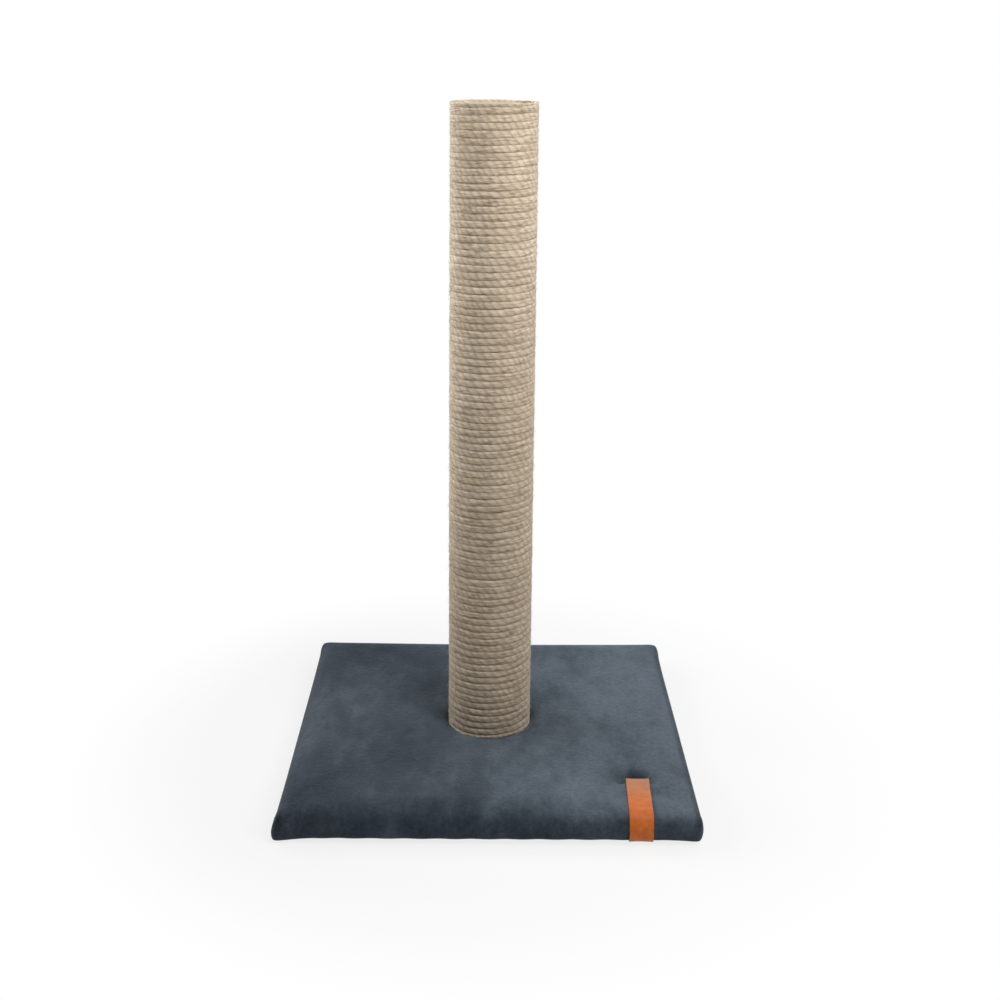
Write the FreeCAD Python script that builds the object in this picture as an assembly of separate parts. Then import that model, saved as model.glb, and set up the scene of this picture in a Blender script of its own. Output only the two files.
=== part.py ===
# Cat scratcher: a rope-wound post bolted to a padded, plush-covered square base.
# Millimetres, +Z up, origin on the floor under the middle of the base, front towards -Y.

import FreeCAD
import Part

import math
import os

Vector = FreeCAD.Vector
UP = Vector(0, 0, 1)

# Base, as seen from outside
base_side = 400.0  # width and depth of the covered base
corner_radius = 12.0  # rounding of the four corners, seen from above
crown_rise = 2.0  # how far the middle of the top stands above the middle of an edge
top_edge_radius = 10.0
bottom_edge_radius = 7.0

# Layers of the base
board_thickness = 15.0
foam_thickness = 8.5  # over the middle of the board
foam_edge = 6.0  # between the board's edge and the cover
cover_thickness = 2.0
hem_width = 50.0  # plush turned under the board
liner_thickness = 0.8
liner_overlap = 20.0  # liner over the turned-under plush
liner_corner_radius = 12.0
soft_gap = 0.3  # clearance round the foam
least_round = 0.5  # smallest rounding left on an inner layer

# Anti-slip pads
pad_diameter = 30.0
pad_height = 2.5
pad_margin = 9.0  # from the liner's edge to a pad's rim
pad_chamfer = 0.6

# Post
overall_height = 670.0  # floor to the top of the rope
tube_diameter = 72.0
tube_wall = 5.0
post_sink = 4.0  # how deep the post presses into the padding
sink_clearance = 0.5  # plush round the foot of the post
sink_round = 2.5  # rounding of the plush at the rim of that hollow

# Rope winding
rope_diameter = 6.5
rope_gap = 0.5  # least gap between neighbouring turns
rope_clearance = 0.3  # rope to tube, and rope to plush
rope_end_angle = 90.0  # both rope ends lie at the back

# Ends of the tube
plug_height = 18.0
plug_clearance = 0.15  # plug and cap in the tube
cap_flange = 3.0
cap_recess = 2.0  # cap's top below the top of the rope
cap_spigot = 20.0
cap_wall = 3.0
cap_rib = 2.0
cap_edge_round = 1.2

# Nails through the tube into the plug and the cap
nail_count = 4
nail_diameter = 1.8
nail_length = 12.0
nail_head_diameter = 3.8
nail_head_height = 1.0

# Bolt, washer and tee nut
bolt_diameter = 8.0
bolt_clearance = 0.5  # bolt in the base and in the washer, all round
bolt_tip = 4.0  # thread standing out above the tee nut
bolt_head_lip = 3.0  # head beyond the shank
bolt_head_height = 4.4
bolt_head_round = 2.0
hex_key = 5.0  # across flats
hex_depth = 2.6
washer_width = 7.5  # from its hole to its rim
washer_thickness = 1.6
counterbore_clearance = 1.5
head_recess = 0.5  # bolt head above the board's underside
access_clearance = 3.0  # hole in the liner round the counterbore
thread_clearance = 0.05
nut_wall = 1.2
nut_flange_width = 5.8  # beyond the barrel
nut_flange = 1.5
nut_recess = 7.0  # barrel's end above the underside of the plug
nut_clearance = 0.1
prong_count = 4
prong_width = 3.6
prong_thickness = 1.2
prong_length = 6.0
prong_inset = 2.0  # from the flange's rim to a prong's middle

# Staples
staple_crown = 10.0
staple_wire = 0.7
staple_bite = 6.0  # legs in the board
staple_margin = 6.0  # from the edge of the cloth or the leather to a staple
staple_spacing = 46.0
staple_row_end = 12.0  # from the corner of the turned-under plush to the row's first staple
fastener_clearance = 0.05  # staples and nails in their holes

# Leather tab over the front edge
tab_inset = 58.0  # from the base's right edge to the tab's middle
tab_width = 22.5
tab_thickness = 1.6
tab_gap = 0.1  # leather to plush
tab_on_top = 73.0  # from the front edge back to the slit that it goes into
tab_tuck = 15.0  # hidden end behind the slit, between plush and foam
tab_end_gap = 6.0  # from the end under the base to the liner's edge
slit_clearance = 0.2

# Heights of the layers
liner_bottom = pad_height
hem_bottom = liner_bottom + liner_thickness
board_bottom = hem_bottom + cover_thickness
board_top = board_bottom + board_thickness
base_top = board_top + foam_thickness + cover_thickness
seat = base_top - post_sink
plug_top = seat + plug_height
cap_top = overall_height - cap_recess
tube_top = cap_top - cap_flange

# Places across the base, from its middle
half_side = base_side / 2
board_inset = cover_thickness + foam_edge
hem_line = half_side - hem_width
liner_line = hem_line + liner_overlap
pad_place = liner_line - pad_margin - pad_diameter / 2
tab_centre = half_side - tab_inset
tab_end = -liner_line - tab_end_gap
slit_back = tab_on_top - half_side
slit_front = slit_back - tab_thickness

# Distances of the tab from the outside of the plush
tab_outside = tab_gap + tab_thickness
tuck_depth = cover_thickness + tab_gap + tab_thickness

# Radii about the post's axis
tube_radius = tube_diameter / 2
bore_radius = tube_radius - tube_wall
plug_radius = bore_radius - plug_clearance
rope_line_radius = tube_radius + rope_clearance + rope_diameter / 2
post_radius = rope_line_radius + rope_diameter / 2
hollow_radius = post_radius + sink_clearance
bolt_radius = bolt_diameter / 2
bolt_hole_radius = bolt_radius + bolt_clearance
washer_radius = bolt_hole_radius + washer_width
counterbore_radius = washer_radius + counterbore_clearance
nut_bore_radius = bolt_radius + thread_clearance
nut_radius = nut_bore_radius + nut_wall
nut_flange_radius = nut_radius + nut_flange_width

# Heights of the bolt and of the fasteners
head_bottom = board_bottom + head_recess
washer_bottom = head_bottom + bolt_head_height
washer_top = washer_bottom + washer_thickness
cover_crown_bottom = hem_bottom
liner_crown_bottom = liner_bottom - staple_wire
tab_crown_bottom = hem_bottom - tab_outside - staple_wire
plug_nail_height = seat + plug_height / 2
cap_nail_height = tube_top - cap_spigot / 2


def cylinder(radius, bottom, top):
    """An upright cylinder on the post's axis."""
    return Part.makeCylinder(radius, top - bottom, Vector(0, 0, bottom))


def ring(outer_radius, inner_radius, bottom, top):
    """An upright ring on the post's axis."""
    return cylinder(outer_radius, bottom, top).cut(cylinder(inner_radius, bottom, top))


def block(x_range, y_range, z_range):
    """A box between two limits on each axis."""
    size = [high - low for low, high in (x_range, y_range, z_range)]
    return Part.makeBox(*size, Vector(x_range[0], y_range[0], z_range[0]))


def square_sheet(half, bottom, top, radius):
    """A flat square plate centred on the post's axis, with rounded corners."""
    plate = block((-half, half), (-half, half), (bottom, top))
    return plate.makeFillet(radius, upright_edges(plate))


def upright_edges(shape):
    """The straight edges of a shape that stand parallel to Z."""
    return [e for e in shape.Edges if e.BoundBox.XLength < 1e-6 and e.BoundBox.YLength < 1e-6]


def edges_of_face(shape, direction):
    """The edges round the face that looks most nearly in a direction."""
    face = max(shape.Faces, key=lambda f: f.CenterOfMass.dot(direction))
    return face.Edges


def base_form(inset):
    """The padded base as one crowned, round-edged slab, drawn in by inset all over."""
    crown_radius = (half_side**2 + crown_rise**2) / (2 * crown_rise)
    crown_centre = Vector(0, 0, base_top - crown_radius)
    room_up = 0.95 * (base_top - hem_bottom - 2 * crown_rise) / (top_edge_radius + bottom_edge_radius)
    room_round = 0.9 * corner_radius / top_edge_radius
    fit = min(1.0, room_up, room_round)
    slab_top = base_top - inset + crown_rise
    slab = square_sheet(half_side - inset, hem_bottom + inset, slab_top, inner_round(corner_radius, inset))
    dome = Part.makeSphere(crown_radius - inset, crown_centre, Vector(0, 1, 0))
    dome.rotate(crown_centre, Vector(0, 1, 0), 90)
    slab = slab.common(dome)
    slab = slab.makeFillet(inner_round(fit * top_edge_radius, inset), edges_of_face(slab, UP))
    return slab.makeFillet(inner_round(fit * bottom_edge_radius, inset), edges_of_face(slab, -UP))


def inner_round(radius, inset):
    """The rounding that keeps a layer parallel to the outside, where it is drawn in by inset."""
    return max(radius - inset, least_round)


def hollow(allowance):
    """The space that the post presses into the padding, grown by an allowance below and around."""
    return cylinder(hollow_radius + allowance, seat - allowance, seat + overall_height)


def bolt_hole():
    """The way of the bolt through the base."""
    return cylinder(bolt_hole_radius, 0, base_top)


def staple(x, y, turned, crown_bottom, clearance=0.0):
    """A staple driven upwards into the board; turned is true where its crown runs along Y."""
    wire = staple_wire / 2 + clearance
    reach = staple_crown / 2 + clearance
    bottom = crown_bottom - clearance
    crown = block((-reach, reach), (-wire, wire), (bottom, crown_bottom + staple_wire + clearance))
    leg_height = (bottom, board_bottom + staple_bite + clearance)
    left = block((-reach, -reach + 2 * wire), (-wire, wire), leg_height)
    right = block((reach - 2 * wire, reach), (-wire, wire), leg_height)
    whole = crown.multiFuse([left, right]).removeSplitter()
    whole.rotate(Vector(0, 0, 0), UP, 90 if turned else 0)
    whole.translate(Vector(x, y, 0))
    return whole


def staple_group(places, crown_bottom, clearance=0.0):
    """Separate staples at each of the places."""
    return Part.makeCompound([staple(x, y, turned, crown_bottom, clearance) for x, y, turned in places])


def square_of_staples(line, steps):
    """The places of four rows of staples, each at one distance from the middle: x, y and whether turned."""
    rows = [(step, side * line, False) for side in (-1, 1) for step in steps]
    columns = [(side * line, step, True) for side in (-1, 1) for step in steps]
    return rows + columns


def staple_steps():
    """The steps along a row of cover staples, evenly spread between the corners."""
    half_row = hem_line - staple_row_end
    gaps = max(1, round(2 * half_row / staple_spacing))
    return [half_row * (2 * i / gaps - 1) for i in range(gaps + 1)]


cover_steps = staple_steps()
liner_steps = [(a + b) / 2 for a, b in zip(cover_steps, cover_steps[1:])]
cover_staple_places = square_of_staples(hem_line + staple_margin, cover_steps)
liner_staple_places = square_of_staples(liner_line - staple_margin, liner_steps)
tab_staple_places = [
    (tab_centre + side * (tab_width / 2 - staple_margin), tab_end - staple_margin - staple_crown / 2, True)
    for side in (-1, 1)
]


def staple_slots():
    """The room that all the staples take in the layers of the base."""
    return Part.makeCompound(
        [
            staple_group(cover_staple_places, cover_crown_bottom, fastener_clearance),
            staple_group(liner_staple_places, liner_crown_bottom, fastener_clearance),
            staple_group(tab_staple_places, tab_crown_bottom, fastener_clearance),
        ]
    )


def base_board(slots):
    """Chipboard panel, counterbored from below for the washer and the bolt's head."""
    rounding = inner_round(corner_radius, board_inset)
    board = square_sheet(half_side - board_inset, board_bottom, board_top, rounding)
    board = board.cut(cylinder(counterbore_radius, board_bottom, washer_top))
    return board.cut(bolt_hole()).cut(slots)


def base_foam():
    """Foam cap over the board's top and edges, pressed thinner under the post and the tab's end."""
    foam = base_form(cover_thickness + soft_gap)
    pocket_inset = board_inset - soft_gap
    pocket = square_sheet(half_side - pocket_inset, 0, board_top, inner_round(corner_radius, pocket_inset))
    dent = tab_column(slit_front, slit_back + tab_tuck, slit_clearance)
    dent = dent.common(skin(-tuck_depth - soft_gap, 0))
    return foam.cut(pocket).cut(dent).cut(hollow(cover_thickness + soft_gap)).cut(bolt_hole())


def base_cover(slots):
    """Plush shell drawn over the foam, turned under the board and open in the middle below."""
    outside = base_form(0).cut(hollow(0))
    outside = outside.makeFillet(min(sink_round, 0.8 * post_sink), [hollow_rim(outside)])
    inside = base_form(cover_thickness).cut(hollow(cover_thickness))
    window = square_sheet(hem_line, 0, board_top, corner_radius)
    slit = tab_column(slit_front, slit_back, slit_clearance)
    return outside.cut(inside.fuse(window)).cut(slit).cut(bolt_hole()).cut(slots)


def hollow_rim(slab):
    """The highest edge round the post, where the top of the base drops into the post's hollow."""
    near_post = [e for e in slab.Edges if e.BoundBox.DiagonalLength < 3 * hollow_radius]
    return max((e for e in near_post if e.Closed), key=lambda e: e.BoundBox.ZMin)


def base_liner(slots):
    """Thin backing cloth under the base, with a hole to reach the bolt."""
    sheet = square_sheet(liner_line, liner_bottom, hem_bottom, liner_corner_radius)
    access_radius = counterbore_radius + access_clearance
    return sheet.cut(cylinder(access_radius, liner_bottom, hem_bottom)).cut(slots)


def anti_slip_pad(x_side, y_side):
    """A round rubber pad stuck under one corner."""
    pad = cylinder(pad_diameter / 2, 0, pad_height)
    pad = pad.makeChamfer(pad_chamfer, edges_of_face(pad, -UP))
    pad.translate(Vector(x_side * pad_place, y_side * pad_place, 0))
    return pad


def skin(inner, outer):
    """A layer over the whole base between two distances from the plush, counted outwards."""
    return base_form(-outer).cut(base_form(-inner))


def tab_column(front, back, clearance=0.0):
    """The space over and in the padding, as wide as the tab, between two places along Y."""
    half_width = tab_width / 2 + clearance
    sides = (tab_centre - half_width, tab_centre + half_width)
    return block(sides, (front - clearance, back + clearance), (board_top, overall_height))


def leather_tab(slots):
    """A leather strap from under the base, up over its front edge and down into a slit in the plush."""
    sides = (tab_centre - tab_width / 2, tab_centre + tab_width / 2)
    front = -half_side - tab_outside
    below = block(sides, (front, tab_end), (0, board_bottom))
    edge = block(sides, (front, board_inset - half_side), (0, board_top))
    above = tab_column(front, slit_back)
    shown = skin(tab_gap, tab_outside).common(below.multiFuse([edge, above]))
    neck = skin(-tuck_depth, tab_outside).common(tab_column(slit_front, slit_back))
    tuck = skin(-tuck_depth, tab_thickness - tuck_depth)
    tuck = tuck.common(tab_column(slit_front, slit_back + tab_tuck))
    return shown.multiFuse([neck, tuck]).removeSplitter().cut(slots)


def inward_pin(radius, length, height):
    """A cylinder that runs from the tube's outside towards the post's axis."""
    return Part.makeCylinder(radius, length, Vector(tube_radius, 0, height), Vector(-1, 0, 0))


def nails(height, clearance=0.0):
    """Nails driven through the tube from outside, their heads flush with it."""
    shank = inward_pin(nail_diameter / 2 + clearance, nail_length + clearance, height)
    head = inward_pin(nail_head_diameter / 2 + clearance, nail_head_height + clearance, height)
    inside_post = cylinder(tube_radius, height - nail_head_diameter, height + nail_head_diameter)
    nail = shank.fuse(head).common(inside_post)
    group = []
    for i in range(nail_count):
        group.append(nail.copy())
        group[-1].rotate(Vector(0, 0, 0), UP, 360.0 * (i + 0.5) / nail_count)
    return Part.makeCompound(group)


def nail_holes():
    """The room that all the nails take in the tube, the plug and the cap."""
    return Part.makeCompound([nails(h, fastener_clearance) for h in (plug_nail_height, cap_nail_height)])


def post_tube(holes):
    """Cardboard tube that carries the rope."""
    return ring(tube_radius, bore_radius, seat, tube_top).cut(holes)


def prongs(clearance=0.0):
    """The tee nut's prongs, which bite into the plug."""
    half_width = prong_width / 2 + clearance
    half_thickness = prong_thickness / 2 + clearance
    place = nut_flange_radius - prong_inset
    prong = block(
        (place - half_thickness, place + half_thickness),
        (-half_width, half_width),
        (plug_top - prong_length - clearance, plug_top),
    )
    group = []
    for i in range(prong_count):
        group.append(prong.copy())
        group[-1].rotate(Vector(0, 0, 0), UP, 360.0 * i / prong_count)
    return group


def bottom_plug(holes):
    """Wooden disc glued and nailed into the foot of the tube, bored for the tee nut."""
    plug = ring(plug_radius, nut_radius + nut_clearance, seat, plug_top)
    return plug.cut(Part.makeCompound(prongs(nut_clearance))).cut(holes)


def tee_nut():
    """Flanged nut seated on top of the plug, so that the bolt draws the post down."""
    barrel = cylinder(nut_radius, seat + nut_recess, plug_top)
    flange = cylinder(nut_flange_radius, plug_top, plug_top + nut_flange)
    thread = cylinder(nut_bore_radius, seat, plug_top + nut_flange)
    return flange.multiFuse([barrel] + prongs()).removeSplitter().cut(thread)


def post_bolt():
    """Button-head bolt through the base into the tee nut, with a hexagon socket."""
    head = cylinder(bolt_radius + bolt_head_lip, head_bottom, washer_bottom)
    head = head.makeFillet(bolt_head_round, edges_of_face(head, -UP))
    shank = cylinder(bolt_radius, washer_bottom, plug_top + nut_flange + bolt_tip)
    first_corner = Vector(hex_key / math.sqrt(3), 0, head_bottom)
    turns = [FreeCAD.Rotation(UP, 60 * i) for i in range(7)]
    hexagon = Part.makePolygon([turn.multVec(first_corner) for turn in turns])
    socket = Part.Face(hexagon).extrude(UP * hex_depth)
    return head.fuse(shank).removeSplitter().cut(socket)


def bolt_washer():
    """Wide washer that spreads the bolt's pull on the board."""
    return ring(washer_radius, bolt_hole_radius, washer_bottom, washer_top)


def top_cap(holes):
    """Moulded cap that closes the top of the tube, ribbed inside its spigot."""
    flange = cylinder(tube_radius, tube_top, cap_top)
    flange = flange.makeFillet(cap_edge_round, edges_of_face(flange, UP))
    spigot_bottom = tube_top - cap_spigot
    spigot = ring(plug_radius, plug_radius - cap_wall, spigot_bottom, tube_top)
    reach = plug_radius - cap_wall / 2
    half_rib = cap_rib / 2
    rib_x = block((-reach, reach), (-half_rib, half_rib), (spigot_bottom, tube_top))
    rib_y = block((-half_rib, half_rib), (-reach, reach), (spigot_bottom, tube_top))
    return flange.multiFuse([spigot, rib_x, rib_y]).removeSplitter().cut(holes)


# The rope lies in one layer on the tube, from the plush up to the top.
rope_pitch_aim = rope_diameter + rope_gap
rope_end_rise = rope_diameter * rope_pitch_aim / (2 * math.pi * rope_line_radius)
rope_start = seat + rope_clearance + rope_diameter / 2 + rope_end_rise
rope_finish = overall_height - rope_diameter / 2 - rope_end_rise
rope_turns = int((rope_finish - rope_start) / rope_pitch_aim)
rope_pitch = (rope_finish - rope_start) / rope_turns


def rope_point(turn):
    """A point on the rope's centre line, after so many turns from its lower end."""
    angle = math.radians(rope_end_angle) + 2 * math.pi * turn
    return Vector(
        rope_line_radius * math.cos(angle),
        rope_line_radius * math.sin(angle),
        rope_start + rope_pitch * turn,
    )


def rope_direction(turn):
    """The rope's direction there."""
    angle = math.radians(rope_end_angle) + 2 * math.pi * turn
    climb = rope_pitch / (2 * math.pi)
    along = Vector(-rope_line_radius * math.sin(angle), rope_line_radius * math.cos(angle), climb)
    return along.normalize()


def tangent_arc(start, corner, end):
    """The arc from start to end that touches the lines to the corner between them."""
    middle = (start + end) * 0.5
    half_chord = (end - start).Length / 2
    to_corner = corner - middle
    rise = half_chord * math.tan(math.atan2(to_corner.Length, half_chord) / 2)
    return Part.Arc(start, middle + to_corner * (rise / to_corner.Length), end).toShape()


def biarc(start, start_direction, end, end_direction):
    """Two arcs that join smoothly and leave both ends in the given directions."""
    span = end - start
    along = span.dot(start_direction + end_direction)
    spread = 2 * (1 - start_direction.dot(end_direction))
    reach = (math.sqrt(along**2 + spread * span.dot(span)) - along) / spread
    first_corner = start + start_direction * reach
    second_corner = end - end_direction * reach
    joint = (first_corner + second_corner) * 0.5
    return [tangent_arc(start, first_corner, joint), tangent_arc(joint, second_corner, end)]


def least_gap(arcs):
    """The least gap between the rope and its next turn, measured on points along its arcs."""
    points_per_arc = 9
    points = [point for arc in arcs for point in arc.discretize(points_per_arc + 1)[:-1]]
    one_turn = points_per_arc * len(arcs) // rope_turns
    gaps = [
        (points[i] - points[j]).Length - rope_diameter
        for i in range(len(points))
        for j in range(i + one_turn // 2, min(i + one_turn * 3 // 2, len(points)))
    ]
    return min(gaps)


def jute_rope():
    """The whole winding as one unbroken round tube, with a straight end of one diameter at each side."""
    arcs = []
    for half_turn in range(2 * rope_turns):
        low, high = half_turn / 2, (half_turn + 1) / 2
        arcs += biarc(rope_point(low), rope_direction(low), rope_point(high), rope_direction(high))
    lower_end = rope_point(0) - rope_direction(0) * rope_diameter
    upper_end = rope_point(rope_turns) + rope_direction(rope_turns) * rope_diameter
    lead_in = Part.LineSegment(lower_end, rope_point(0)).toShape()
    lead_out = Part.LineSegment(rope_point(rope_turns), upper_end).toShape()
    route = Part.Wire([lead_in] + arcs + [lead_out])
    section = Part.Wire(Part.Circle(lower_end, rope_direction(0), rope_diameter / 2).toShape())
    sweep = Part.BRepOffsetAPI.MakePipeShell(route)
    sweep.add(section)
    sweep.build()
    sweep.makeSolid()
    rope = sweep.shape()
    expected = math.pi * rope_diameter**2 / 4 * route.Length
    print(f"rope: {rope_turns} turns, {route.Length / 1000:.2f} m, least gap {least_gap(arcs):.2f} mm")
    print(f"rope: volume {rope.Volume:.0f} mm3, section times length {expected:.0f} mm3")
    return rope


def build():
    """Every piece of the scratcher by its name."""
    slots = staple_slots()
    holes = nail_holes()
    pieces = {
        "base_board": base_board(slots),
        "base_foam": base_foam(),
        "base_cover": base_cover(slots),
        "cover_staples": staple_group(cover_staple_places, cover_crown_bottom),
        "base_liner": base_liner(slots),
        "liner_staples": staple_group(liner_staple_places, liner_crown_bottom),
        "leather_tab": leather_tab(slots),
        "tab_staples": staple_group(tab_staple_places, tab_crown_bottom),
        "post_tube": post_tube(holes),
        "bottom_plug": bottom_plug(holes),
        "bottom_plug_nails": nails(plug_nail_height),
        "tee_nut": tee_nut(),
        "post_bolt": post_bolt(),
        "bolt_washer": bolt_washer(),
        "top_cap": top_cap(holes),
        "top_cap_nails": nails(cap_nail_height),
        "jute_rope": jute_rope(),
    }
    for y_side, depth in ((-1, "front"), (1, "back")):
        for x_side, hand in ((-1, "left"), (1, "right")):
            pieces[f"anti_slip_pad_{depth}_{hand}"] = anti_slip_pad(x_side, y_side)
    return pieces


os.makedirs("parts", exist_ok=True)
for name, shape in build().items():
    shape.exportStep(os.path.join("parts", name + ".step"))
    print(f"{name}: {len(shape.Solids)} solid(s), {shape.Volume:.1f} mm3, valid {shape.isValid()}")
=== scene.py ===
# %% [markdown]
# Dressing a cat scratcher
#
# The CAD model brings the hard pieces of this scratcher: board, tube, plug, cap and fasteners.
# The soft ones, plush, rope, leather and backing cloth, are only plain solids there.
# This lesson loads the model as a fixed frame, makes the soft pieces in its place, and gives
# every piece a finish that is worked out by shader nodes, so no picture file is needed.

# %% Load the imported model
import math
import random

import bmesh
import bpy
from mathutils import Matrix, Vector, noise
from mathutils.bvhtree import BVHTree


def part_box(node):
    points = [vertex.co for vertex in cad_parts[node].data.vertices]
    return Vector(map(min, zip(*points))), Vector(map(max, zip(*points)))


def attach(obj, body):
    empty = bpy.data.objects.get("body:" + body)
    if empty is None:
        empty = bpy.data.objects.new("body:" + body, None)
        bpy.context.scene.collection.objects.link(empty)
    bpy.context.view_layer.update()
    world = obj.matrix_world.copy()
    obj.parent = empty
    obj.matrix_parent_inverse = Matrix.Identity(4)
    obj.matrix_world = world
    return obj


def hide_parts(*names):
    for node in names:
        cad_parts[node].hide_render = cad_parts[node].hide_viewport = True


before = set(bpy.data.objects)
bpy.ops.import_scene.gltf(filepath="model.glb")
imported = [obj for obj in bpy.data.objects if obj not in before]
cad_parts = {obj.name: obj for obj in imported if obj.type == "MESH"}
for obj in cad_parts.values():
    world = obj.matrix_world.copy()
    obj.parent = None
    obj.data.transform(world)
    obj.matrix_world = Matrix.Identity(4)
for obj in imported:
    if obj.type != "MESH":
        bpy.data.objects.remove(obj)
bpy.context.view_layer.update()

scene = bpy.context.scene
scene.view_settings.view_transform = "Standard"

# %% [markdown]
# The camera
#
# The photograph looks a little down on the scratcher from the front. A level camera with a large
# shift would keep the post quite parallel, but then other views would lose the object's edges, so
# the camera tilts down and takes only as much shift as the framing needs.

# %% Camera
camera_place = Vector((-0.0017, -1.4083, 0.7361))
camera_aim = Vector((0.0079, 0.0, 0.3967))
camera_roll = math.radians(0.56)
sensor_width = 36.0
focal_length = 52.25
frame_shift = -0.12


def facing(place, aim):
    turn = (aim - place).to_track_quat("-Z", "Y").to_matrix().to_4x4()
    return Matrix.Translation(place) @ turn


camera = bpy.data.objects.new("camera", bpy.data.cameras.new("camera"))
camera.data.sensor_width = sensor_width
camera.data.lens = focal_length
camera.data.shift_y = frame_shift
camera.matrix_world = facing(camera_place, camera_aim) @ Matrix.Rotation(camera_roll, 4, "Z")
scene.collection.objects.link(camera)
scene.camera = camera
print("camera stands", round((camera_aim - camera_place).length, 3), "m from the post")

# %% [markdown]
# The white room
#
# The room and all finishes are trees of shader nodes. A helper places a node and fills its sockets,
# with a plain value or with a link to another node's output. The first tree is the room: it looks
# plain white to the camera and in reflections, and gives hardly any light, so the lamps shape the
# object.

# %% Room
WHITE = (1.0, 1.0, 1.0, 1.0)
room_glow = 0.02


def fill_sockets(tree, node, sockets):
    for socket, value in sockets.items():
        if isinstance(value, bpy.types.NodeSocket):
            tree.links.new(value, node.inputs[socket])
        else:
            node.inputs[socket].default_value = value


def place_node(tree, kind, sockets=None, **options):
    node = tree.nodes.new("ShaderNode" + kind)
    for option, value in options.items():
        setattr(node, option, value)
    fill_sockets(tree, node, sockets or {})
    return node


def work_out(tree, operation, first, second=0.0, third=0.0):
    return place_node(tree, "Math", {0: first, 1: second, 2: third}, operation=operation).outputs[0]


def ray_share(tree):
    path = place_node(tree, "LightPath")
    seen = work_out(tree, "MAXIMUM", path.outputs["Is Camera Ray"], path.outputs["Is Glossy Ray"])
    return work_out(tree, "MAXIMUM", seen, path.outputs["Is Transmission Ray"])


room = bpy.data.worlds.new("white room")
room.use_nodes = True
scene.world = room
room_tree = room.node_tree
room_tree.nodes.clear()
lit_room = place_node(room_tree, "Background", {"Color": WHITE, "Strength": room_glow})
seen_room = place_node(room_tree, "Background", {"Color": WHITE, "Strength": 1.0})
room_mix = place_node(room_tree, "MixShader", {
    0: ray_share(room_tree), 1: lit_room.outputs[0], 2: seen_room.outputs[0]})
place_node(room_tree, "OutputWorld", {"Surface": room_mix.outputs[0]})
print("room nodes", len(room_tree.nodes))

# %% [markdown]
# The lamps
#
# In the photograph the base is bright on top, dark in front, and lighter on the right than on the
# left. So a large soft lamp hangs over the front and a weaker one over the back, and three smaller
# lamps stand on the right. Three narrower beams are aimed at the upper post. They lift the rope's two
# edges and leave it darker towards the base.


# %% Lamps
def soft_lamp(name, place, aim, size, power, spread=180.0):
    lamp = bpy.data.lights.new(name, "AREA")
    lamp.shape = "DISK"
    lamp.size = size
    lamp.energy = power
    lamp.spread = math.radians(spread)
    stand = bpy.data.objects.new(name, lamp)
    stand.matrix_world = facing(Vector(place), Vector(aim))
    scene.collection.objects.link(stand)


front_spot = (0.0, -0.05, 0.1)
middle_spot = (0.0, 0.0, 0.1)
right_spot = (0.1, 0.0, 0.1)
post_spot = (0.0, 0.0, 0.55)
upper_spot = (0.0, 0.0, 0.6)
soft_lamp("overhead front lamp", (0.15, -0.45, 1.45), front_spot, size=1.0, power=2.5)
soft_lamp("overhead back lamp", (0.1, 0.7, 1.4), middle_spot, size=1.0, power=0.9)
soft_lamp("right back lamp", (0.6, 0.5, 0.8), right_spot, size=0.4, power=2.1)
soft_lamp("right front lamp", (0.65, -0.4, 0.75), right_spot, size=0.4, power=1.3)
soft_lamp("small front lamp", (0.6, -0.7, 0.8), right_spot, size=0.2, power=1.9)
soft_lamp("left side lamp", (-1.1, 0.0, 0.75), post_spot, size=0.6, power=1.4, spread=70.0)
soft_lamp("left back lamp", (-0.9, 0.6, 0.9), post_spot, size=0.6, power=1.9, spread=70.0)
soft_lamp("post lamp", (0.35, -0.5, 1.05), upper_spot, size=0.4, power=1.15, spread=90.0)

# %% [markdown]
# The floor
#
# The scratcher was photographed on white. A wide pale disc takes a faint shadow. It looks mostly plain
# white, and wholly so further out. That white is for the eye only, so it doesn't light the object.

# %% Floor
floor_radius = 8.0
floor_sides = 96
floor_colour = (0.93, 0.93, 0.93, 1.0)
shadow_start = 0.24
shadow_end = 0.46
floor_lift = 0.80
floor_bm = bmesh.new()
bmesh.ops.create_circle(floor_bm, cap_ends=True, segments=floor_sides, radius=floor_radius)
floor_mesh = bpy.data.meshes.new("floor")
floor_bm.to_mesh(floor_mesh)
floor_bm.free()
floor = bpy.data.objects.new("floor", floor_mesh)
scene.collection.objects.link(floor)


def new_finish(name):
    material = bpy.data.materials.new(name)
    material.use_nodes = True
    return material, material.node_tree, material.node_tree.nodes["Principled BSDF"]


def fade(tree, value, start, end, low=0.0, high=1.0, way="LINEAR"):
    return place_node(tree, "MapRange", {
        "Value": value, "From Min": start, "From Max": end, "To Min": low, "To Max": high},
        interpolation_type=way).outputs["Result"]


def length_of(tree, vector):
    return place_node(tree, "VectorMath", {0: vector}, operation="LENGTH").outputs["Value"]


floor_paint, floor_tree, floor_shader = new_finish("pale floor")
fill_sockets(floor_tree, floor_shader, {
    "Base Color": floor_colour, "Roughness": 0.9, "Specular IOR Level": 0.1})
floor_reach = length_of(floor_tree, place_node(floor_tree, "TexCoord").outputs["Object"])
floor_fade = fade(floor_tree, floor_reach, shadow_start, shadow_end, low=floor_lift, way="SMOOTHSTEP")
floor_share = work_out(floor_tree, "MULTIPLY", floor_fade, ray_share(floor_tree))
floor_white = place_node(floor_tree, "Emission", {"Color": WHITE, "Strength": 1.0})
floor_mix = place_node(floor_tree, "MixShader", {
    0: floor_share, 1: floor_shader.outputs[0], 2: floor_white.outputs[0]})
floor_tree.links.new(floor_mix.outputs[0], floor_tree.nodes["Material Output"].inputs["Surface"])
floor_mesh.materials.append(floor_paint)
print("floor", floor_radius * 2, "m across")

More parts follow.
